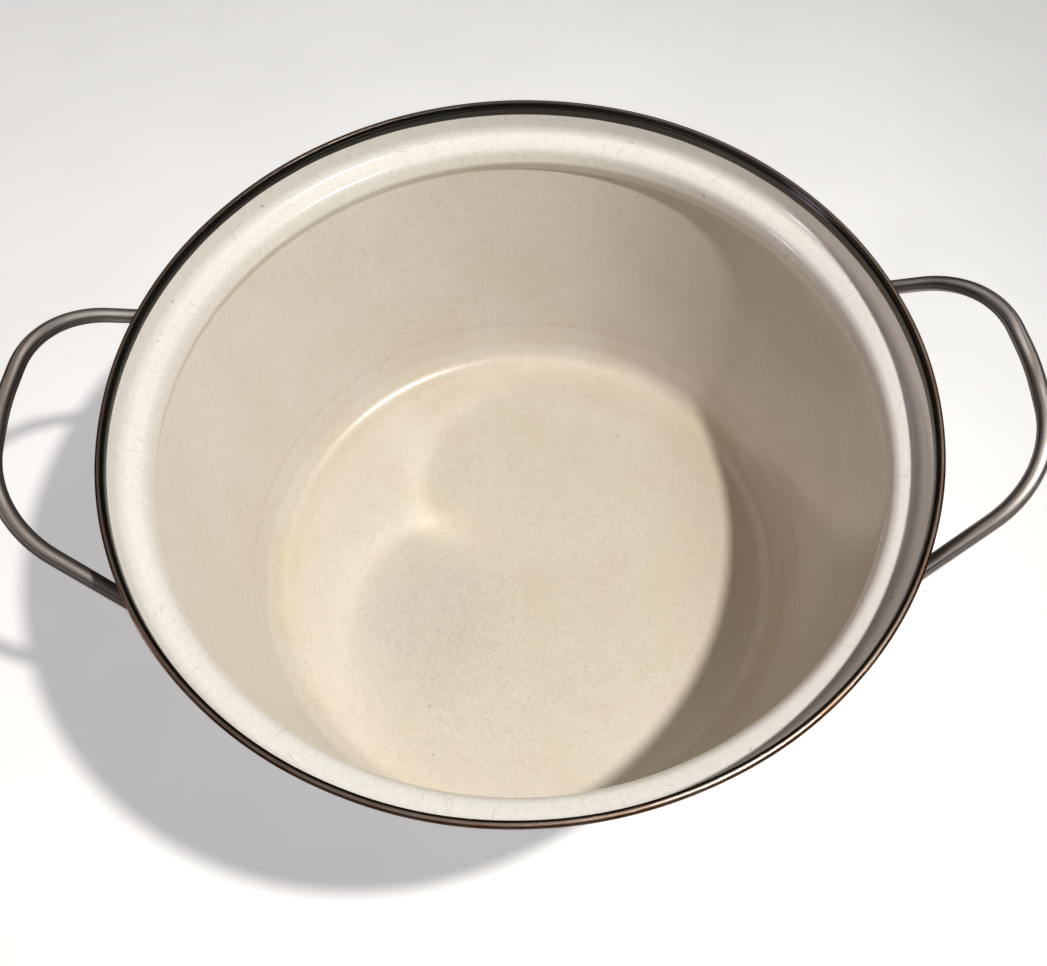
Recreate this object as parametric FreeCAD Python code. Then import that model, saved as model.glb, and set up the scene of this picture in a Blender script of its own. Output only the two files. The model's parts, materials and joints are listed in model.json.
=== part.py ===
import FreeCAD, Part
import math
import os

# Open enamelled-steel canning pot. Millimetres, +Z up, origin at the centre of the base.
# The two handles lie along +X (right) and -X (left); -Y is the front.

# ---- driving dimensions ------------------------------------------------------------------------
TOP = 190.0                # base to the top of the rim trim
TRIM_RADIUS = 178.0        # pot's axis to the outside of the rim trim
SHEET = 1.2                # enamelled steel sheet
ROD = 7.0                  # handle rod's diameter

# shell, inner face
BAND_RADIUS = 175.0        # upright band that holds a lid's skirt
SEAT_OUTER_Z = 172.6       # corner between the band and the sloping lid seat
SEAT_INNER_RADIUS = 165.0  # the seat's inner corner, before rounding
SEAT_INNER_Z = 168.2
NOSE_RADIUS = 163.4        # the nose, the narrowest place inside the seat
NOSE_Z = 160.8
CREASE_RADIUS = 166.7      # groove below the nose, where the tapered wall starts
CREASE_Z = 153.8
KNEE_RADIUS = 157.2        # soft bend low on the wall
KNEE_Z = 29.8
WALL_FOOT_RADIUS = 153.2   # lower wall's line carried down to the floor
BAND_FILLET = 6.0
SEAT_FILLET = 5.0
NOSE_FILLET = 4.0
CREASE_FILLET = 3.0
KNEE_FILLET = 30.0
BOTTOM_FILLET = 14.0

# rim: a C-shaped roll of thin strip over the shell's edge
BEAD_RADIUS = 1.45
STRIP = 0.5
OUTER_LIP_ANGLE = 35.0     # degrees that the outer lip wraps below the bead's middle
INNER_LIP_ANGLE = 5.0      # and the inner lip, which leaves black enamel in view under it
EDGE_SINK = 0.72           # how far the shell's edge stands above the bead's middle
LIP_CLEARANCE = 0.2
STEP_HEIGHT = 1.0          # the shell steps outwards under the trim, to meet the bead's middle
STEP_FILLET = 1.6

# handle loop, in its own sloping plane
HANDLE_SLOPE = 38.5        # degrees that the loop rises away from the pot
FOOT_Z = 131.8             # height of the feet above the base
FOOT_ANGLE = 36.5          # degrees round the pot, where each foot touches the wall
FOOT_BACK = 17.4           # from that point back to the bend into the arm
FOOT_FRONT = 12.0          # from that point on to the rod's end
LOOP_REACH = 89.7          # foot bends to the loop's outer corners, up the slope
LOOP_HALF_WIDTH = 51.4     # at the outer corners
GRIP_BOW = 4.05            # the grip's middle corner beyond the outer corners
FOOT_BEND = 12.0
OUTER_BEND = 50.0
GRIP_BEND = 146.0
ROD_END_CHAMFER = 0.8
WALL_GAP = 0.05            # between rod and wall

# saddle: a strap over each foot, with two flanges against the wall
SADDLE_SHEET = 1.5
SADDLE_WIDTH = 14.0
SADDLE_FLANGE = 9.0
SADDLE_CLEARANCE = 0.05    # round the rod
FLANGE_CORNER = 3.0
FLANGE_BEND = 2.0          # outside of the bend between arch and flange

UP = FreeCAD.Vector(0, 0, 1)


def rounded_path(points, radii):
    """Edges of a path through the points, with a tangent arc at each corner between its ends."""
    edges = []
    start = points[0]
    for before, corner, after, radius in zip(points, points[1:], points[2:], radii[1:]):
        arriving = (corner - before).normalize()
        leaving = (after - corner).normalize()
        turn = arriving.getAngle(leaving)
        reach = radius * math.tan(turn / 2)
        first = corner - arriving * reach
        last = corner + leaving * reach
        inward = (leaving - arriving).normalize()
        middle = corner + inward * (radius / math.cos(turn / 2) - radius)
        edges.append(Part.LineSegment(start, first).toShape())
        edges.append(Part.Arc(first, middle, last).toShape())
        start = last
    edges.append(Part.LineSegment(start, points[-1]).toShape())
    return edges


def offset_corners(points, radii, distance):
    """The same path moved to its left by distance, in the XZ plane, with its radii to match."""
    headings = [(end - start).normalize() for start, end in zip(points, points[1:])]
    normals = [FreeCAD.Vector(-heading.z, 0, heading.x) for heading in headings]
    moved = [points[0] + normals[0] * distance]
    moved_radii = [0.0]
    for index in range(1, len(points) - 1):
        before = normals[index - 1]
        after = normals[index]
        moved.append(points[index] + (before + after) * (distance / (1 + before.dot(after))))
        turns_left = before.cross(after).y < 0
        moved_radii.append(radii[index] + (-distance if turns_left else distance))
    moved.append(points[-1] + normals[-1] * distance)
    moved_radii.append(0.0)
    return moved, moved_radii


def face_from(edges):
    """A flat face inside a closed run of edges."""
    return Part.Face(Part.Wire(Part.__sortEdges__(edges)))


def turned(section):
    """A solid of revolution about the pot's axis."""
    return section.revolve(FreeCAD.Vector(), UP, 360)


def shell_inner_path():
    """Corners and radii of the shell's inner face, from its edge in the trim to the floor's centre."""
    bead_z = TOP - BEAD_RADIUS
    edge_radius = TRIM_RADIUS - BEAD_RADIUS - SHEET / 2
    step_top = bead_z - BEAD_RADIUS * math.sin(math.radians(OUTER_LIP_ANGLE)) - LIP_CLEARANCE
    corners = [
        (edge_radius, bead_z + EDGE_SINK, 0.0),
        (edge_radius, step_top, STEP_FILLET),
        (BAND_RADIUS, step_top - STEP_HEIGHT, STEP_FILLET),
        (BAND_RADIUS, SEAT_OUTER_Z, BAND_FILLET),
        (SEAT_INNER_RADIUS, SEAT_INNER_Z, SEAT_FILLET),
        (NOSE_RADIUS, NOSE_Z, NOSE_FILLET),
        (CREASE_RADIUS, CREASE_Z, CREASE_FILLET),
        (KNEE_RADIUS, KNEE_Z, KNEE_FILLET),
        (WALL_FOOT_RADIUS, SHEET, BOTTOM_FILLET),
        (0.0, SHEET, 0.0),
    ]
    points = [FreeCAD.Vector(radius, 0, z) for radius, z, _ in corners]
    radii = [fillet for _, _, fillet in corners]
    return points, radii


def make_shell():
    """The drawn pot: one sheet of even thickness from the rim's edge to the floor."""
    inner, inner_radii = shell_inner_path()
    outer, outer_radii = offset_corners(inner, inner_radii, SHEET)
    edges = rounded_path(inner, inner_radii) + rounded_path(outer, outer_radii)
    edges.append(Part.LineSegment(inner[0], outer[0]).toShape())
    edges.append(Part.LineSegment(inner[-1], outer[-1]).toShape())
    return turned(face_from(edges))


def make_filled_pot():
    """The pot's outer form as one solid block, to cut the backs of the saddles to."""
    outer, outer_radii = offset_corners(*shell_inner_path(), SHEET)
    edges = rounded_path(outer, outer_radii)
    axis_top = FreeCAD.Vector(0, 0, outer[0].z)
    edges.append(Part.LineSegment(outer[0], axis_top).toShape())
    edges.append(Part.LineSegment(axis_top, outer[-1]).toShape())
    return turned(face_from(edges))


def make_trim():
    """The C-shaped trim, open below, where the shell's edge enters it."""
    middle = FreeCAD.Vector(TRIM_RADIUS - BEAD_RADIUS, 0, TOP - BEAD_RADIUS)

    def bead_point(radius, degrees):
        angle = math.radians(degrees)
        return middle + FreeCAD.Vector(math.cos(angle), 0, math.sin(angle)) * radius

    outer_lip = -OUTER_LIP_ANGLE
    inner_lip = 180 + INNER_LIP_ANGLE
    edges = []
    for radius in (BEAD_RADIUS, BEAD_RADIUS - STRIP):
        edges.append(Part.Arc(*[bead_point(radius, a) for a in (outer_lip, 90, inner_lip)]).toShape())
    for lip in (outer_lip, inner_lip):
        ends = [bead_point(radius, lip) for radius in (BEAD_RADIUS, BEAD_RADIUS - STRIP)]
        edges.append(Part.LineSegment(*ends).toShape())
    return turned(face_from(edges))


def wall_radius(z):
    """Radius of the tapered wall's outer face above the knee, and its slope from upright in radians."""
    draft = math.atan2(CREASE_RADIUS - KNEE_RADIUS, CREASE_Z - KNEE_Z)
    inner = CREASE_RADIUS - (CREASE_Z - z) * math.tan(draft)
    return inner + SHEET / math.cos(draft), draft


def foot_directions(side):
    """Straight out from the wall at a foot, and along the foot towards the rod's end."""
    angle = math.radians(FOOT_ANGLE)
    out = FreeCAD.Vector(math.cos(angle), side * math.sin(angle), 0)
    along = FreeCAD.Vector(-math.sin(angle), side * math.cos(angle), 0)
    return out, along


def foot_middle(side):
    """Centre of the rod where its foot passes the wall; side is 1 at the rear, -1 at the front."""
    out, _ = foot_directions(side)
    radius, draft = wall_radius(FOOT_Z)
    return out * (radius + (ROD / 2 + WALL_GAP) / math.cos(draft)) + UP * FOOT_Z


def make_handle():
    """The right handle: foot, arm, bowed grip, arm and foot, bent from one rod."""
    slope = math.radians(HANDLE_SLOPE)
    outward = FreeCAD.Vector(math.cos(slope), 0, math.sin(slope))
    halves = {}
    for side in (-1, 1):
        _, along = foot_directions(side)
        tip = foot_middle(side) + along * FOOT_FRONT
        bend = foot_middle(side) - along * FOOT_BACK
        base = FreeCAD.Vector(bend.x, 0, bend.z)
        corner = base + outward * LOOP_REACH + FreeCAD.Vector(0, side * LOOP_HALF_WIDTH, 0)
        halves[side] = [tip, bend, corner]
    grip = base + outward * (LOOP_REACH + GRIP_BOW)
    points = halves[-1] + [grip] + halves[1][::-1]
    radii = [0, FOOT_BEND, OUTER_BEND, GRIP_BEND, OUTER_BEND, FOOT_BEND, 0]
    section = Part.Wire(Part.makeCircle(ROD / 2, points[0], points[1] - points[0]))
    rod = Part.Wire(rounded_path(points, radii)).makePipeShell([section], True, False)
    end_rims = [face.Edges[0] for face in rod.Faces if isinstance(face.Surface, Part.Plane)]
    return rod.makeChamfer(ROD_END_CHAMFER, end_rims).Solids[0]


def edges_where(shape, test):
    """The shape's edges whose middle point passes the test."""
    return [edge for edge in shape.Edges if test(edge.CenterOfMass)]


def arch_block(radius, length):
    """A round-fronted block over the rod, which lies along Y through the origin."""
    start = FreeCAD.Vector(0, -length / 2, 0)
    front = Part.makeCylinder(radius, length, start, FreeCAD.Vector(0, 1, 0))
    depth = ROD / 2 + WALL_GAP + SADDLE_SHEET
    back = Part.makeBox(depth, length, 2 * radius, FreeCAD.Vector(-depth, -length / 2, -radius))
    return front.fuse(back).removeSplitter()


def make_saddle(filled_pot):
    """The strap at the right rear: flange, arch over the foot, flange."""
    inside = ROD / 2 + SADDLE_CLEARANCE
    outside = inside + SADDLE_SHEET
    flange_end = outside + SADDLE_FLANGE
    half_width = SADDLE_WIDTH / 2
    plate_front = SADDLE_SHEET - ROD / 2 - WALL_GAP

    corner = FreeCAD.Vector(plate_front - 2 * SADDLE_SHEET, -half_width, -flange_end)
    plate = Part.makeBox(2 * SADDLE_SHEET, SADDLE_WIDTH, 2 * flange_end, corner)
    strap = plate.fuse(arch_block(outside, SADDLE_WIDTH)).removeSplitter()
    corners = edges_where(strap, lambda p: abs(p.y) > half_width - 0.01 and abs(p.z) > flange_end - 0.01)
    strap = strap.makeFillet(FLANGE_CORNER, corners)
    bends = edges_where(strap, lambda p: abs(p.y) < 0.01 and abs(p.x - plate_front) < 0.01
                        and abs(abs(p.z) - outside) < 0.01)
    strap = strap.makeFillet(FLANGE_BEND, bends)
    strap = strap.cut(arch_block(inside, 2 * SADDLE_WIDTH))

    out, along = foot_directions(1)
    _, draft = wall_radius(FOOT_Z)
    normal = out * math.cos(draft) - UP * math.sin(draft)
    rise = out * math.sin(draft) + UP * math.cos(draft)
    turn = FreeCAD.Rotation(normal, along, rise, "XYZ")
    strap.Placement = FreeCAD.Placement(foot_middle(1), turn)
    return strap.cut(filled_pot).Solids[0]


def to_left(shape):
    """The same piece on the left of the pot."""
    return shape.mirror(FreeCAD.Vector(), FreeCAD.Vector(1, 0, 0))


def to_front(shape):
    """The same piece at the front of the pot."""
    return shape.mirror(FreeCAD.Vector(), FreeCAD.Vector(0, 1, 0))


def make_parts():
    """Every piece by its node's name."""
    handle = make_handle()
    saddle = make_saddle(make_filled_pot())
    return {
        "pot_shell": make_shell(),
        "rim_trim": make_trim(),
        "handle_right": handle,
        "handle_left": to_left(handle),
        "saddle_right_rear": saddle,
        "saddle_right_front": to_front(saddle),
        "saddle_left_rear": to_left(saddle),
        "saddle_left_front": to_left(to_front(saddle)),
    }


os.makedirs("parts", exist_ok=True)
for node, shape in make_parts().items():
    print(node, shape.ShapeType, shape.isValid(), round(shape.Volume), "mm3")
    shape.exportStep(os.path.join("parts", node + ".step"))
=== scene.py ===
from functools import cached_property
import json
import math
import bpy
from mathutils import Matrix, Vector


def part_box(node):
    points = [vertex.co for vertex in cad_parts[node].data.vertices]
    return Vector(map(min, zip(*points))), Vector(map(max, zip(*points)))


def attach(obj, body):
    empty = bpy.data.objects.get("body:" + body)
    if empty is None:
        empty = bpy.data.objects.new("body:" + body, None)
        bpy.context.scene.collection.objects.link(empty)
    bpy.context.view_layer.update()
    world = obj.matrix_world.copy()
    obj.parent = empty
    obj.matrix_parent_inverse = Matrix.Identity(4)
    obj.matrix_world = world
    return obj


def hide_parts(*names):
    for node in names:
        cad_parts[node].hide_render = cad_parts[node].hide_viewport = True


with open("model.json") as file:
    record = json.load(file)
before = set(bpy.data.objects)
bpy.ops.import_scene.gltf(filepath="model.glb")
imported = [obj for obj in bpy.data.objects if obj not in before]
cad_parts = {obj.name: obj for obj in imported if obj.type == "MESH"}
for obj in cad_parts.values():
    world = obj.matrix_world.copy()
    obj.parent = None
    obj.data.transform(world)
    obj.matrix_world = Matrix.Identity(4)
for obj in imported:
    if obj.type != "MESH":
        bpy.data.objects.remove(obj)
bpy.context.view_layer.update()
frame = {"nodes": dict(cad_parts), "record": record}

MM = 0.001

# ---- sizes, in millimetres and degrees ---------------------------------------------------------
TRIM_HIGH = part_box("rim_trim")[1]
TOP = TRIM_HIGH.z / MM               # base to the top of the rim trim
TRIM_RADIUS = round(TRIM_HIGH.x / MM, 1)
BAND_RADIUS = next(m for m in frame["record"]["mounts"] if m["name"] == "lid_seat")["dims"]["r_mm"]
SEAT_RADIUS = 165.0                  # at the lid seat's inner corner
SHEET = 1.2
BEAD_RADIUS = 1.45
STRIP = 0.5
OUTER_LIP_ANGLE = 35
INNER_LIP_ANGLE = 5
LIP_CLEARANCE = 0.2                  # between the trim's outer lip and the shell's step
STEP_HEIGHT = 1.0
STEP_FILLET = 1.6
EDGE_RISE = 0.72                     # from the middle of the trim's bead up to the shell's edge
HANDLE_SLOPE = 38.5                  # how steeply the handle loops rise away from the pot

# the shell's inner face, from its edge in the trim to the floor's centre: radius, height, fillet
EDGE_RADIUS = TRIM_RADIUS - BEAD_RADIUS - SHEET / 2
STEP_TOP = TOP - BEAD_RADIUS * (1 + math.sin(math.radians(OUTER_LIP_ANGLE))) - LIP_CLEARANCE
INNER_CORNERS = [
    (EDGE_RADIUS, TOP - BEAD_RADIUS + EDGE_RISE, 0.0),
    (EDGE_RADIUS, STEP_TOP, STEP_FILLET),
    (BAND_RADIUS, STEP_TOP - STEP_HEIGHT, STEP_FILLET),
    (BAND_RADIUS, 172.6, 6.0),       # the foot of the band that a lid drops into
    (SEAT_RADIUS, 168.2, 5.0),       # the inner edge of the step that the lid rests on
    (163.4, 160.8, 4.0),             # the narrowest place
    (166.7, 153.8, 3.0),             # the top of the tapered wall
    (157.2, 29.8, 30.0),             # the soft bend low on the wall
    (153.2, SHEET, 14.0),            # the bottom corner
    (0.0, SHEET, 0.0),
]

# ---- how finely the round pieces are cut -------------------------------------------------------
SEGMENTS = 256                       # round the pot
LONGEST_RUN = 9.0                    # millimetres of a straight stretch
ARC_STEP = 9.0                       # degrees of a fillet
TRIM_STEP = 10                       # degrees of the trim's bead
ON_AXIS = 1e-6                       # a smaller radius than this is a point on the axis

# ---- marks, in millimetres ---------------------------------------------------------------------
WALL_RADIUS = 160.0                  # at about half height, to unroll the wall
CREST_RADIUS = 176.5                 # at about the trim's crest, to unroll the trim
CHIP_SPACING = 22.0
BLACK_EDGE_Z = 184.15                # the cream coat stops about here, and black shows above it

# ---- camera, in metres and degrees -------------------------------------------------------------
CAMERA_AT = (0.0015, -0.2156, 0.5104)
CAMERA_TILT = 27.73                  # up from straight down
CAMERA_ROLL = -2.29
CAMERA_HEADING = 0.002               # about Z, in radians
SENSOR_WIDTH = 36.0                  # millimetres, as is the lens
LENS = 30.95


# ---- materials ---------------------------------------------------------------------------------
class Nodes:
    """A material's node tree, written as expressions on its millimetre coordinates."""

    def __init__(self, name):
        self.material = bpy.data.materials.new(name)
        self.material.use_nodes = True
        self.tree = self.material.node_tree
        self.tree.nodes.clear()
        self.shader = self.add("ShaderNodeBsdfPrincipled")
        output = self.add("ShaderNodeOutputMaterial")
        self.tree.links.new(self.shader.outputs["BSDF"], output.inputs["Surface"])

    @cached_property
    def place(self):
        """The object's own coordinates, in millimetres."""
        metres = self.add("ShaderNodeTexCoord").outputs["Object"]
        scaled = self.add("ShaderNodeVectorMath", operation="SCALE")
        self.feed(scaled.inputs[0], metres)
        self.feed(scaled.inputs["Scale"], 1 / MM)
        return scaled.outputs[0]

    @cached_property
    def coordinates(self):
        return self.split(self.place)

    @property
    def x(self):
        return self.coordinates[0]

    @property
    def y(self):
        return self.coordinates[1]

    @property
    def z(self):
        return self.coordinates[2]

    @cached_property
    def radius(self):
        """The distance from the pot's axis."""
        return self.distance(self.x, self.y)

    @cached_property
    def angle(self):
        """The angle round the pot's axis, in radians."""
        return self.math("ARCTAN2", self.y, self.x)

    @cached_property
    def on_floor(self):
        """1 on the pot's floor and 0 on its wall."""
        return self.ramp(self.z, 12.0, 3.0)

    def add(self, kind, **settings):
        node = self.tree.nodes.new(kind)
        for key, value in settings.items():
            setattr(node, key, value)
        return node

    def feed(self, socket, value):
        """Link a socket, or set its constant."""
        if isinstance(value, bpy.types.NodeSocket):
            self.tree.links.new(value, socket)
        else:
            socket.default_value = value

    def math(self, operation, *values):
        node = self.add("ShaderNodeMath", operation=operation)
        for socket, value in zip(node.inputs, values):
            self.feed(socket, value)
        return node.outputs[0]

    def ramp(self, value, low, high, start=0.0, end=1.0):
        """A smooth step from start to end as value goes from low to high."""
        node = self.add("ShaderNodeMapRange", interpolation_type="SMOOTHSTEP")
        names = ("Value", "From Min", "From Max", "To Min", "To Max")
        for name, item in zip(names, (value, low, high, start, end)):
            self.feed(node.inputs[name], item)
        return node.outputs["Result"]

    def times(self, *values):
        """All the values multiplied together."""
        product = values[0]
        for value in values[1:]:
            product = self.math("MULTIPLY", product, value)
        return product

    def distance(self, *offsets):
        """The length of a vector from its parts."""
        total = 0.0
        for offset in offsets:
            total = self.math("ADD", total, self.math("MULTIPLY", offset, offset))
        return self.math("SQRT", total)

    def split(self, vector):
        node = self.add("ShaderNodeSeparateXYZ")
        self.feed(node.inputs[0], vector)
        return node.outputs

    def join(self, x, y, z):
        node = self.add("ShaderNodeCombineXYZ")
        for socket, value in zip(node.inputs, (x, y, z)):
            self.feed(socket, value)
        return node.outputs[0]

    def streaks(self, vector, degrees, sizes, detail=1.0):
        """Noise from 0 to 1 with features of these millimetre sizes, turned about Z."""
        node = self.add("ShaderNodeMapping", vector_type="TEXTURE")
        self.feed(node.inputs["Vector"], vector)
        node.inputs["Rotation"].default_value = (0, 0, math.radians(degrees))
        node.inputs["Scale"].default_value = sizes
        return self.noise(node.outputs[0], 1.0, detail)

    def noise(self, vector, size, detail=2.0, rough=0.5):
        """Noise from 0 to 1 with features about this many millimetres across."""
        node = self.add("ShaderNodeTexNoise")
        self.feed(node.inputs["Vector"], vector)
        node.inputs["Scale"].default_value = 1 / size
        node.inputs["Detail"].default_value = detail
        node.inputs["Roughness"].default_value = rough
        return node.outputs["Fac"]

    def mix(self, amount, base, other):
        """The base colour, going to the other as amount goes from 0 to 1."""
        node = self.add("ShaderNodeMix", data_type="RGBA")
        self.feed(node.inputs["Factor"], amount)
        colours = [socket for socket in node.inputs if socket.type == "RGBA"]
        for socket, value in zip(colours, (base, other)):
            self.feed(socket, value)
        return next(socket for socket in node.outputs if socket.type == "RGBA")

    def bump(self, height, distance):
        """A normal for relief of this many metres per unit of height."""
        node = self.add("ShaderNodeBump")
        node.inputs["Distance"].default_value = distance
        self.feed(node.inputs["Height"], height)
        return node.outputs[0]

    def finish(self, **sockets):
        """Feed the shader's sockets, named with underscores for spaces, and give the material."""
        for key, value in sockets.items():
            self.feed(self.shader.inputs[key.replace("_", " ")], value)
        return self.material


def rgb(red, green, blue):
    """A linear colour from 0 to 255 display values."""
    def linear(value):
        value /= 255
        return value / 12.92 if value <= 0.04045 else ((value + 0.055) / 1.055) ** 2.4
    return (linear(red), linear(green), linear(blue), 1.0)


def enamel_body(n):
    """Cream: warmer low down, finely mottled all over, and with painted light: nearly white on the lid
    seat and the band, whiter still at the back.
    """
    tone = n.ramp(n.noise(n.place, 55.0, 3.0), 0.35, 0.7)
    colour = n.mix(tone, rgb(230, 225, 217), rgb(226, 219, 207))
    # painted light: the lid seat and the band are made nearly white, as the lamp lights them directly
    colour = n.mix(n.ramp(n.z, 156.0, 166.0), colour, rgb(230, 227, 221))
    # painted light: the back of the lid seat and band is made whiter still, where more light falls
    painted_light_back_seat = n.times(n.ramp(n.z, 156.0, 162.0), n.ramp(n.z, 176.0, 170.0), n.ramp(n.y, 40.0, 150.0))
    colour = n.mix(painted_light_back_seat, colour, rgb(241, 238, 229))
    colour = n.mix(n.times(n.on_floor, 0.8), colour, rgb(221, 214, 198))
    mottle = n.ramp(n.noise(n.place, 1.7, 4.0, 0.65), 0.38, 0.75)
    mottle = n.times(mottle, n.math("ADD", 0.26, n.times(n.on_floor, 0.22)))
    return n.mix(mottle, colour, rgb(194, 183, 160))


def painted_shade_right_wall(n, colour):
    """Painted shade: the right of the wall, up to the lid seat, made greyer and pinker, where the lamp
    leaves it in shade.
    """
    # painted shade on the right of the wall, fading out at the floor and at the lid seat
    right_shade = n.times(n.ramp(n.x, 20.0, 115.0), n.ramp(n.z, 0.0, 20.0), n.ramp(n.z, 173.0, 163.0))
    right_shade = n.times(right_shade, n.ramp(n.noise(n.place, 50.0, 3.0), 0.3, 0.7, 0.65, 1.0))
    return n.mix(n.times(right_shade, 0.72), colour, rgb(203, 194, 192))


def floor_stains_and_painted_shade(n, colour):
    """A tan ring round the floor, painted shade that makes the shaded right of the floor browner, cloudy
    stains, and a paler strip on the left.
    """
    radius = n.radius
    ring = n.times(n.ramp(radius, 112.0, 133.0), n.ramp(radius, 154.0, 143.0), n.ramp(n.z, 26.0, 10.0))
    ring = n.times(ring, n.ramp(n.noise(n.place, 42.0, 3.0), 0.25, 0.7, 0.45, 1.0))
    ring = n.times(ring, n.ramp(n.y, -60.0, 110.0, 0.22, 0.62))
    colour = n.mix(ring, colour, rgb(213, 196, 177))
    # painted shade: the right of the floor, in the rim's shadow, is made browner and darker
    painted_shade_right_floor = n.times(n.ramp(n.x, 72.0, 128.0), n.ramp(n.z, 20.0, 6.0))
    colour = n.mix(n.times(painted_shade_right_floor, 0.4), colour, rgb(194, 170, 147))
    cloud = n.times(n.ramp(n.noise(n.place, 60.0, 4.0, 0.6), 0.45, 0.75), n.on_floor)
    colour = n.mix(n.times(cloud, 0.5), colour, rgb(214, 204, 169))
    blush = n.times(n.ramp(n.noise(n.place, 36.0, 3.0, 0.6), 0.48, 0.7), n.on_floor)
    colour = n.mix(n.times(blush, 0.35), colour, rgb(214, 197, 183))
    pale = n.times(n.ramp(n.x, -48.0, -98.0), n.ramp(radius, 148.0, 128.0), n.on_floor)
    return n.mix(n.times(pale, 0.35), colour, rgb(232, 226, 216))


def worn_patch(n):
    """How worn the floor is: most on the left, towards the front."""
    away = n.distance(n.math("ADD", n.x, 58.0), n.times(n.math("ADD", n.y, 34.0), 0.8))
    away = n.math("ADD", away, n.times(n.noise(n.place, 34.0, 3.0), 34.0))
    worn = n.times(n.ramp(away, 72.0, 32.0), n.on_floor)
    return n.times(worn, n.ramp(n.noise(n.place, 2.4, 4.0, 0.7), 0.2, 0.75, 0.5, 1.0))


def knee_line(n):
    """A thin darker line round the knee of the wall."""
    line = n.times(n.ramp(n.z, 26.5, 29.6), n.ramp(n.z, 32.6, 30.0))
    return n.times(line, n.ramp(n.noise(n.place, 20.0, 3.0), 0.3, 0.6, 0.5, 1.0))


def scratch_lines(n):
    """Hairline scratches in four directions, on the floor and on the unrolled wall."""
    on_wall = n.math("SUBTRACT", 1.0, n.on_floor)
    unrolled = n.join(n.times(n.angle, WALL_RADIUS), n.z, 0.0)
    scratches = 0.0
    runs = ((12.0, 0.5, 13.0), (57.0, 0.45, 9.0), (101.0, 0.52, 15.0), (146.0, 0.48, 10.0))
    for degrees, width, length in runs:
        for surface, share in ((n.place, n.on_floor), (unrolled, on_wall)):
            lines = n.streaks(surface, degrees, (length, width, 30.0))
            scratches = n.math("MAXIMUM", scratches, n.times(n.ramp(lines, 0.71, 0.77), share))
    return scratches


def scuff_marks(n):
    """Short brown scuffs, thickest at the front left of the floor."""
    scuffs = 0.0
    for degrees in (22.0, 68.0, 127.0):
        lines = n.streaks(n.place, degrees, (7.0, 0.45, 30.0))
        scuffs = n.math("MAXIMUM", scuffs, n.ramp(lines, 0.66, 0.75))
    away = n.distance(n.math("ADD", n.x, 40.0), n.math("ADD", n.y, 55.0))
    scuffed = n.times(n.ramp(away, 110.0, 25.0), n.on_floor)
    return n.times(scuffs, scuffed)


def chip_marks(n):
    """Small chips, laid out on the unrolled inside: more of them on the lid seat and the band."""
    cells = n.add("ShaderNodeTexVoronoi", feature="F1", voronoi_dimensions="2D")
    unrolled = n.join(n.times(n.angle, SEAT_RADIUS), n.math("ADD", n.radius, n.z), 0.0)
    n.feed(cells.inputs["Vector"], unrolled)
    cells.inputs["Scale"].default_value = 1 / CHIP_SPACING
    pick, size, _ = n.split(cells.outputs["Color"])
    away = n.math("ADD", n.times(cells.outputs["Distance"], CHIP_SPACING), n.noise(n.place, 1.2))
    size = n.math("ADD", size, 0.6)
    near = n.ramp(away, n.times(size, 0.95), n.times(size, 0.6))
    chosen = n.math("GREATER_THAN", pick, n.ramp(n.z, 150.0, 165.0, 0.88, 0.6))
    return n.times(near, chosen)


def black_edge_and_rim_shadow(n):
    """1 where the cream coat stops below the trim and black shows; it reaches lowest at the back right, a
    painted shadow of the rim.
    """
    rim_shadow_side = n.math("ADD", n.times(n.x, 0.6), n.times(n.y, 0.8))
    # painted shadow: the black comes down further at the back right, where the rim shades the band
    edge = n.math("SUBTRACT", BLACK_EDGE_Z, n.ramp(rim_shadow_side, 20.0, 165.0, 0.0, 1.7))
    edge = n.math("ADD", edge, n.times(n.math("SUBTRACT", n.noise(n.place, 16.0, 3.0), 0.5), 0.5))
    return n.math("GREATER_THAN", n.z, edge)


def cream_enamel():
    """Glossy cream enamel: stains, grey wear, a thin darker line at the knee, scratches, scuffs and small
    chips, with painted light on the lid seat and painted shade on the right and under the rim.
    """
    n = Nodes("cream_enamel")
    worn = worn_patch(n)
    scratches = scratch_lines(n)
    chips = chip_marks(n)

    colour = floor_stains_and_painted_shade(n, painted_shade_right_wall(n, enamel_body(n)))
    colour = n.mix(n.times(worn, 0.42), colour, rgb(190, 188, 176))
    # a thin darker line round the knee of the wall
    colour = n.mix(n.times(knee_line(n), 0.12), colour, rgb(166, 148, 124))
    colour = n.mix(n.times(scratches, 0.5), colour, rgb(160, 146, 124))
    colour = n.mix(n.times(scuff_marks(n), 0.5), colour, rgb(150, 132, 112))
    colour = n.mix(n.times(chips, 0.55), colour, rgb(116, 106, 96))
    colour = n.mix(black_edge_and_rim_shadow(n), colour, rgb(24, 24, 22))

    rough = n.math("ADD", 0.1, n.times(n.on_floor, 0.15))
    rough = n.math("ADD", rough, n.times(n.noise(n.place, 18.0, 4.0), 0.04))
    rough = n.math("ADD", rough, n.times(worn, 0.15))
    relief = n.math("ADD", n.noise(n.place, 6.0, 1.0), n.times(scratches, -0.5))
    relief = n.math("ADD", relief, n.times(chips, -3.0))
    return n.finish(Base_Color=colour, Roughness=rough, Normal=n.bump(relief, 0.00002))


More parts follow.
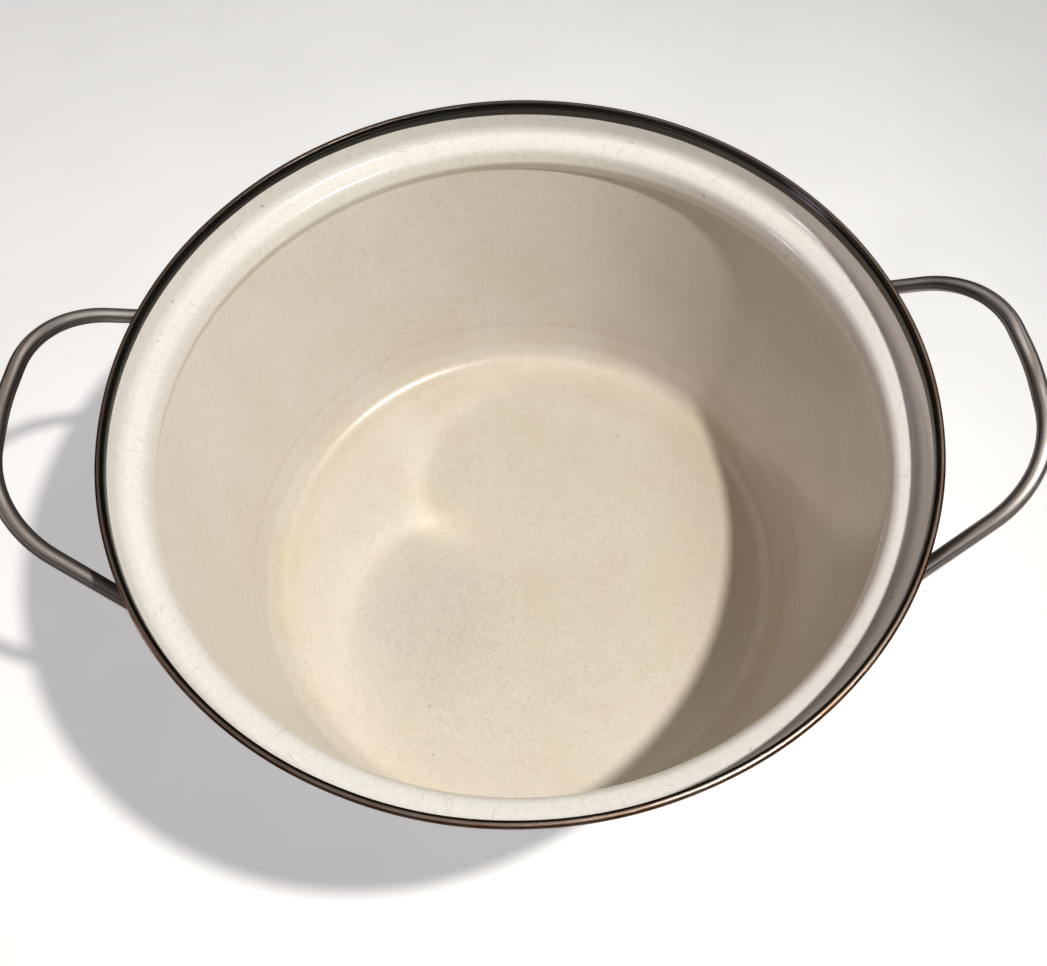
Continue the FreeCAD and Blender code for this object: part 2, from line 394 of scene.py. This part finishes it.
def black_enamel():
    """Glossy black enamel with faint orange peel, dust, fine scratches and a worn ring underneath."""
    n = Nodes("black_enamel")
    unrolled = n.join(n.times(n.angle, SEAT_RADIUS), n.z, 0.0)
    worn = n.times(n.ramp(n.z, 1.2, 0.2), n.ramp(n.radius, 100.0, 126.0))
    worn = n.times(worn, n.ramp(n.noise(n.place, 5.0, 5.0, 0.7), 0.42, 0.62))
    specks = n.ramp(n.noise(n.place, 0.9, 1.0), 0.74, 0.8)
    colour = n.mix(n.times(specks, 0.35), rgb(22, 21, 22), rgb(92, 92, 90))
    colour = n.mix(n.times(worn, 0.8), colour, rgb(104, 98, 90))
    scratches = n.ramp(n.streaks(unrolled, 78.0, (24.0, 0.6, 1.0)), 0.7, 0.8)
    rough = n.math("ADD", 0.1, n.times(n.noise(n.place, 25.0, 4.0), 0.1))
    rough = n.math("ADD", rough, n.times(scratches, 0.15))
    rough = n.math("ADD", rough, n.times(worn, 0.3))
    relief = n.math("ADD", n.noise(n.place, 3.5, 1.0), n.times(scratches, -0.3))
    return n.finish(Base_Color=colour, Roughness=rough, Normal=n.bump(relief, 0.00003))


def trim_steel():
    """Stainless strip with scratches along the rim and mottled brown grime, and painted reflection: brown
    on the outer edge, nearly black on the inner half, darkest on the left and brown at glancing angles.
    """
    n = Nodes("trim_steel")
    unrolled = n.join(n.times(n.angle, CREST_RADIUS), n.radius, n.z)
    hairs = n.ramp(n.streaks(unrolled, 0.0, (14.0, 0.16, 0.16), 2.0), 0.5, 0.78)
    nicks = n.ramp(n.streaks(unrolled, 0.0, (1.6, 0.5, 0.5), 2.0), 0.64, 0.74)
    grime = n.ramp(n.noise(n.place, 26.0, 5.0, 0.6), 0.4, 0.7)
    colour = n.mix(n.times(grime, 0.6), rgb(138, 124, 112), rgb(112, 80, 58))
    # painted reflection: brown on the outer edge, for the brown surroundings that the steel mirrors
    outside = n.ramp(n.radius, TRIM_RADIUS - 1.9, TRIM_RADIUS - 0.4)
    brown = n.times(outside, n.ramp(grime, 0.0, 1.0, 0.5, 1.0))
    colour = n.mix(n.times(brown, 0.85), colour, rgb(104, 66, 42))
    middle = TRIM_RADIUS - BEAD_RADIUS
    # painted reflection: the inner half is made nearly black
    inside = n.ramp(n.radius, middle + 0.2, middle - 1.0)
    colour = n.mix(n.times(inside, 0.9), colour, rgb(36, 34, 30))
    # painted reflection: darker towards the left
    colour = n.mix(n.ramp(n.x, 60.0, -90.0, 0.0, 0.6), colour, rgb(44, 38, 34))
    rough = n.math("ADD", 0.26, n.times(hairs, 0.16))
    rough = n.math("ADD", rough, n.times(nicks, 0.25))
    relief = n.math("SUBTRACT", n.times(n.noise(unrolled, 9.0, 2.0), 2.0), n.math("ADD", nicks, hairs))
    normal = n.bump(relief, 0.00002)
    # painted reflection: browns the steel's reflections at glancing angles
    painted_reflection_tint = rgb(112, 78, 54)
    return n.finish(Base_Color=colour, Metallic=1.0, Specular_Tint=painted_reflection_tint, Roughness=rough, Normal=normal)


def handle_steel():
    """Stainless rod with drawn lines along it and brownish finger marks; the near arm on the left is
    rougher and darkened as painted shade, and glancing reflections are darkened as painted reflection.
    """
    n = Nodes("handle_steel")
    slope = math.radians(HANDLE_SLOPE)
    across = n.math("MULTIPLY", n.math("ABSOLUTE", n.x), -math.sin(slope))
    across = n.math("ADD", across, n.times(n.z, math.cos(slope)))
    squeeze = 0.012                  # draws the noise out into lines that lie in the loop's plane
    along_rod = n.join(n.times(n.x, squeeze), n.times(n.y, squeeze), across)
    drawn = n.ramp(n.noise(along_rod, 0.9, 2.0, 0.6), 0.4, 0.6)
    marks = n.ramp(n.noise(n.place, 14.0, 4.0, 0.6), 0.42, 0.72)
    hairs = n.ramp(n.streaks(n.place, 20.0, (9.0, 0.3, 0.3), 2.0), 0.5, 0.8)
    colour = n.mix(drawn, rgb(122, 114, 108), rgb(196, 190, 184))
    colour = n.mix(n.times(marks, 0.4), colour, rgb(132, 112, 98))
    # painted shade: the near arm on the left is made darker, and rougher too
    dull_and_painted_shade = n.times(n.ramp(n.x, 0.0, -150.0), n.ramp(n.y, 0.0, -55.0))
    colour = n.mix(n.times(dull_and_painted_shade, 0.7), colour, rgb(84, 78, 75))
    rough = n.math("ADD", 0.38, n.times(marks, 0.06))
    rough = n.math("ADD", rough, n.times(dull_and_painted_shade, 0.17))
    rough = n.math("ADD", rough, n.times(hairs, 0.1))
    relief = n.math("SUBTRACT", n.noise(n.place, 11.0, 2.0), n.times(hairs, 0.12))
    normal = n.bump(relief, 0.00005)
    # painted reflection: darkens and browns the rod's reflections at glancing angles, so its edges look
    # dark
    painted_reflection_tint = rgb(62, 46, 36)
    return n.finish(Base_Color=colour, Metallic=1.0, Specular_Tint=painted_reflection_tint, Roughness=rough, Normal=normal)


def stage_floor():
    """Plain pale studio floor."""
    n = Nodes("stage_floor")
    shade = n.ramp(n.noise(n.place, 120.0, 3.0), 0.3, 0.7)
    colour = n.mix(shade, rgb(244, 243, 241), rgb(240, 239, 237))
    return n.finish(Base_Color=colour, Roughness=0.7, Emission_Color=colour, Emission_Strength=0.45)


def stage_ceiling():
    """Even white light, which the renderer doesn't sample as a lamp."""
    n = Nodes("stage_ceiling")
    n.material.cycles.emission_sampling = "NONE"
    white = (1.0, 0.97, 0.95, 1.0)
    return n.finish(Base_Color=(0.0, 0.0, 0.0, 1.0), Emission_Color=white, Emission_Strength=1.2)


# ---- meshes ------------------------------------------------------------------------------------
def rounded_profile(corners):
    """Points along a path of (radius, height, fillet) corners, with every corner rounded."""
    points = [Vector(corner[:2]) for corner in corners]
    path = [points[0]]
    for before, corner, after, spec in zip(points, points[1:], points[2:], corners[1:]):
        arriving = (corner - before).normalized()
        leaving = (after - corner).normalized()
        turn = arriving.angle(leaving)
        reach = spec[2] * math.tan(turn / 2)
        centre = corner + (leaving - arriving).normalized() * (spec[2] / math.cos(turn / 2))
        first = corner - arriving * reach - centre
        way = math.copysign(1.0, arriving.x * leaving.y - arriving.y * leaving.x)
        steps = max(2, math.ceil(math.degrees(turn) / ARC_STEP))
        add_run(path, centre + first)
        for step in range(1, steps + 1):
            spin = Matrix.Rotation(way * turn * step / steps, 2)
            path.append(centre + spin @ first)
    add_run(path, points[-1])
    return path


def add_run(path, end):
    """Carry a path straight on to its next point, in steps no longer than the longest run."""
    start = path[-1]
    steps = max(1, math.ceil((end - start).length / LONGEST_RUN))
    for step in range(1, steps + 1):
        path.append(start.lerp(end, step / steps))


def offset_corners(corners, distance):
    """The same corners moved to the left of the path, with fillets to match."""
    points = [Vector(corner[:2]) for corner in corners]
    headings = [(b - a).normalized() for a, b in zip(points, points[1:])]
    normals = [Vector((-heading.y, heading.x)) for heading in headings]
    moved = [points[0] + normals[0] * distance]
    fillets = [0.0]
    for index in range(1, len(points) - 1):
        before = normals[index - 1]
        after = normals[index]
        moved.append(points[index] + (before + after) * (distance / (1 + before.dot(after))))
        left = before.x * after.y - before.y * after.x > 0
        fillets.append(corners[index][2] + (-distance if left else distance))
    moved.append(points[-1] + normals[-1] * distance)
    fillets.append(0.0)
    return [(point.x, point.y, fillet) for point, fillet in zip(moved, fillets)]


def lathe(name, profile, slots, materials, closed, wobble=None):
    """Turn a profile in millimetres about Z; slots gives each profile run's material."""
    vertices = []
    rings = []
    for radius, height in profile:
        if radius < ON_AXIS:
            rings.append([len(vertices)])
            vertices.append((0.0, 0.0, height * MM))
            continue
        ring = []
        for step in range(SEGMENTS):
            angle = 2 * math.pi * step / SEGMENTS
            out, up = wobble(angle) if wobble else (0.0, 0.0)
            ring.append(len(vertices))
            reach = (radius + out) * MM
            vertices.append((reach * math.cos(angle), reach * math.sin(angle), (height + up) * MM))
        rings.append(ring)
    faces = []
    face_slots = []
    pairs = list(zip(rings, rings[1:] + (rings[:1] if closed else [])))
    for (near, far), slot in zip(pairs, slots):
        if len(near) == 1 and len(far) == 1:
            continue
        for step in range(SEGMENTS):
            following = (step + 1) % SEGMENTS
            if len(near) == 1:
                face = (near[0], far[step], far[following])
            elif len(far) == 1:
                face = (near[step], far[0], near[following])
            else:
                face = (near[step], far[step], far[following], near[following])
            faces.append(face)
            face_slots.append(slot)
    mesh = bpy.data.meshes.new(name)
    mesh.from_pydata(vertices, [], faces)
    for polygon, slot in zip(mesh.polygons, face_slots):
        polygon.material_index = slot
        polygon.use_smooth = True
    for material in materials:
        mesh.materials.append(material)
    piece = bpy.data.objects.new(name, mesh)
    bpy.context.scene.collection.objects.link(piece)
    return piece


def make_pot(cream, black):
    """The whole drawn shell, cream inside and black outside."""
    inner = rounded_profile(INNER_CORNERS)
    outer = rounded_profile(offset_corners(INNER_CORNERS, SHEET))
    profile = inner + outer[::-1]
    slots = [0] * (len(inner) - 1) + [1] * (len(outer) + 1)
    pot = lathe("pot", profile, slots, [cream, black], closed=True)
    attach(pot, "root")
    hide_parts("pot_shell")


def make_trim(steel):
    """The rolled trim over the shell's edge, very slightly uneven."""
    middle = Vector((TRIM_RADIUS - BEAD_RADIUS, TOP - BEAD_RADIUS))
    wrap = range(-OUTER_LIP_ANGLE, 181 + INNER_LIP_ANGLE, TRIM_STEP)
    profile = []
    for radius, angles in ((BEAD_RADIUS, wrap), (BEAD_RADIUS - STRIP, wrap[::-1])):
        for degrees in angles:
            angle = math.radians(degrees)
            profile.append(middle + Vector((math.cos(angle), math.sin(angle))) * radius)

    def uneven(angle):
        """How far in and down the trim wanders: it never leaves the CAD's box."""
        out = 0.05 * math.sin(7 * angle + 1.0) + 0.04 * math.sin(17 * angle + 0.4) - 0.09
        up = 0.03 * math.sin(11 * angle + 2.0) - 0.03
        return out, up

    trim = lathe("trim", profile, [0] * len(profile), [steel], closed=True, wobble=uneven)
    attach(trim, "root")
    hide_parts("rim_trim")


# ---- stage, light and camera -------------------------------------------------------------------
def flat_square(name, half, height, material):
    """A horizontal square for the stage."""
    mesh = bpy.data.meshes.new(name)
    corners = [(-half, -half, height), (half, -half, height), (half, half, height), (-half, half, height)]
    mesh.from_pydata(corners, [], [(0, 1, 2, 3)])
    mesh.materials.append(material)
    square = bpy.data.objects.new(name, mesh)
    bpy.context.scene.collection.objects.link(square)
    return square


def make_stage():
    """A pale floor, and a soft white ceiling that only shows in the steel and the gloss."""
    flat_square("studio_floor", 12.0, 0.0, stage_floor())
    ceiling = flat_square("studio_ceiling", 1.8, 2.0, stage_ceiling())
    ceiling.visible_camera = False
    ceiling.visible_diffuse = False
    ceiling.visible_shadow = False


def area_light(name, at, target, size, power, colour):
    """A round lamp at one place, aimed at another."""
    light = bpy.data.lights.new(name, "AREA")
    light.shape = "DISK"
    light.size = size
    light.energy = power
    light.color = colour
    lamp = bpy.data.objects.new(name, light)
    bpy.context.scene.collection.objects.link(lamp)
    lamp.location = at
    lamp.rotation_euler = (Vector(target) - Vector(at)).to_track_quat("-Z", "Y").to_euler()


def make_lights():
    """A small hard lamp makes the shadows and the arcs on the floor, and two soft ones fill in."""
    area_light("key", (0.329, -0.153, 0.90), (-0.75, -0.15, 0.05), 0.045, 8.8, (1.0, 0.98, 0.95))
    area_light("fill", (-1.1, -0.5, 1.5), (0.0, 0.0, 0.15), 1.2, 0.9, (1.0, 0.84, 0.87))
    area_light("low_fill", (-1.6, -0.3, 0.27), (0.17, 0.0, 0.18), 0.3, 5.7, (1.0, 0.9, 1.08))


def make_world():
    """A dim warm surround for the light, seen by the camera as a plain pale wall."""
    world = bpy.data.worlds.new("studio")
    bpy.context.scene.world = world
    world.use_nodes = True
    tree = world.node_tree
    dim = tree.nodes["Background"]
    dim.inputs["Color"].default_value = (1.0, 0.85, 0.74, 1.0)
    dim.inputs["Strength"].default_value = 0.02
    pale = tree.nodes.new("ShaderNodeBackground")
    pale.inputs["Color"].default_value = rgb(226, 225, 223)
    choose = tree.nodes.new("ShaderNodeMixShader")
    tree.links.new(tree.nodes.new("ShaderNodeLightPath").outputs["Is Camera Ray"], choose.inputs[0])
    tree.links.new(dim.outputs[0], choose.inputs[1])
    tree.links.new(pale.outputs[0], choose.inputs[2])
    tree.links.new(choose.outputs[0], tree.nodes["World Output"].inputs["Surface"])


def make_camera():
    """Above the near edge, looking down into the pot."""
    camera = bpy.data.cameras.new("camera")
    camera.sensor_width = SENSOR_WIDTH
    camera.lens = LENS
    eye = bpy.data.objects.new("camera", camera)
    bpy.context.scene.collection.objects.link(eye)
    tilt = Matrix.Rotation(math.radians(CAMERA_TILT), 4, "X")
    roll = Matrix.Rotation(math.radians(CAMERA_ROLL), 4, "Z")
    heading = Matrix.Rotation(CAMERA_HEADING, 4, "Z")
    eye.matrix_world = Matrix.Translation(CAMERA_AT) @ heading @ tilt @ roll
    bpy.context.scene.camera = eye


steel = handle_steel()
black = black_enamel()
make_pot(cream_enamel(), black)
make_trim(trim_steel())
for node, part in frame["nodes"].items():
    if node.startswith("handle"):
        part.material_slots[0].material = steel
    if node.startswith("saddle"):
        part.material_slots[0].material = black

make_stage()
make_world()
make_lights()
make_camera()
bpy.context.scene.view_settings.view_transform = "Standard"
bpy.context.scene.cycles.blur_glossy = 0.0   # keeps the arcs of light that the wall throws on the floor
